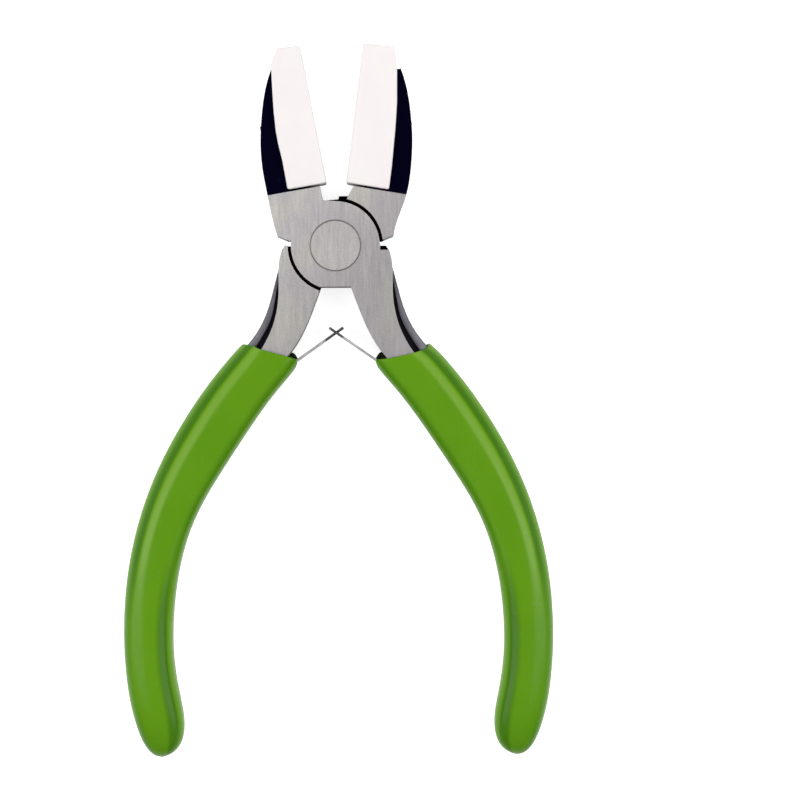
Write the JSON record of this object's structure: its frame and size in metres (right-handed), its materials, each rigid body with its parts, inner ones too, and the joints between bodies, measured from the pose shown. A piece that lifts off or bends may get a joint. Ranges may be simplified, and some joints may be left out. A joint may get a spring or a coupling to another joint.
{
  "type": "flat nose pliers",
  "caption": "Small lap-joint pliers with nylon flat-nose jaw pads, dipped grips and a pair of interlocked leaf return springs, shown open.",
  "frame": {"origin": "pivot axis at the rear ground face of the head", "axes": "+Y along the tool to the jaws, +X to the right of the front face, +Z out of the front face"},
  "size_m": [0.0846, 0.14, 0.0108],
  "materials": {
    "ground_steel": "ground faces, dark forged recesses",
    "rivet_steel": "ground flush",
    "white_nylon": "satin moulded nylon",
    "screw_steel": "dark zinc",
    "spring_steel": "bright spring strip",
    "green_vinyl": "glossy dipped vinyl"
  },
  "bodies": {
    "front_half": {"front_half": "ground_steel", "pivot_rivet": "rivet_steel", "left_nylon_jaw": "white_nylon", "left_jaw_screw": "screw_steel", "right_grip": "green_vinyl", "right_spring_rivet": "screw_steel"},
    "rear_half": {"rear_half": "ground_steel", "right_nylon_jaw": "white_nylon", "right_jaw_screw": "screw_steel", "left_grip": "green_vinyl", "left_spring_rivet": "screw_steel"},
    "left_spring": {"left_leaf_spring": "spring_steel"},
    "right_spring": {"right_leaf_spring": "spring_steel"}
  },
  "joints": [
    {"name": "pivot", "type": "hinge", "parent": "front_half", "child": "rear_half", "pos_m": [0, 0, 0.0044], "axis": [0, 0, 1], "range_deg": [-4, 17.65], "stiffness_Nm_per_rad": 1},
    {"name": "left_spring_flex", "type": "hinge", "parent": "rear_half", "child": "left_spring", "pos_m": [-0.0101, -0.024, 0.0044], "axis": [0, 0, 1], "range_deg": [-5, 16], "deforming": ["left_leaf_spring"]},
    {"name": "right_spring_flex", "type": "hinge", "parent": "front_half", "child": "right_spring", "pos_m": [0.0101, -0.024, 0.0044], "axis": [0, 0, 1], "range_deg": [-16, 5], "deforming": ["right_leaf_spring"]}
  ],
  "couplings": [
    {"joint": "left_spring_flex", "follows": "pivot", "ratio": 0.866},
    {"joint": "right_spring_flex", "follows": "pivot", "ratio": -0.866}
  ]
}
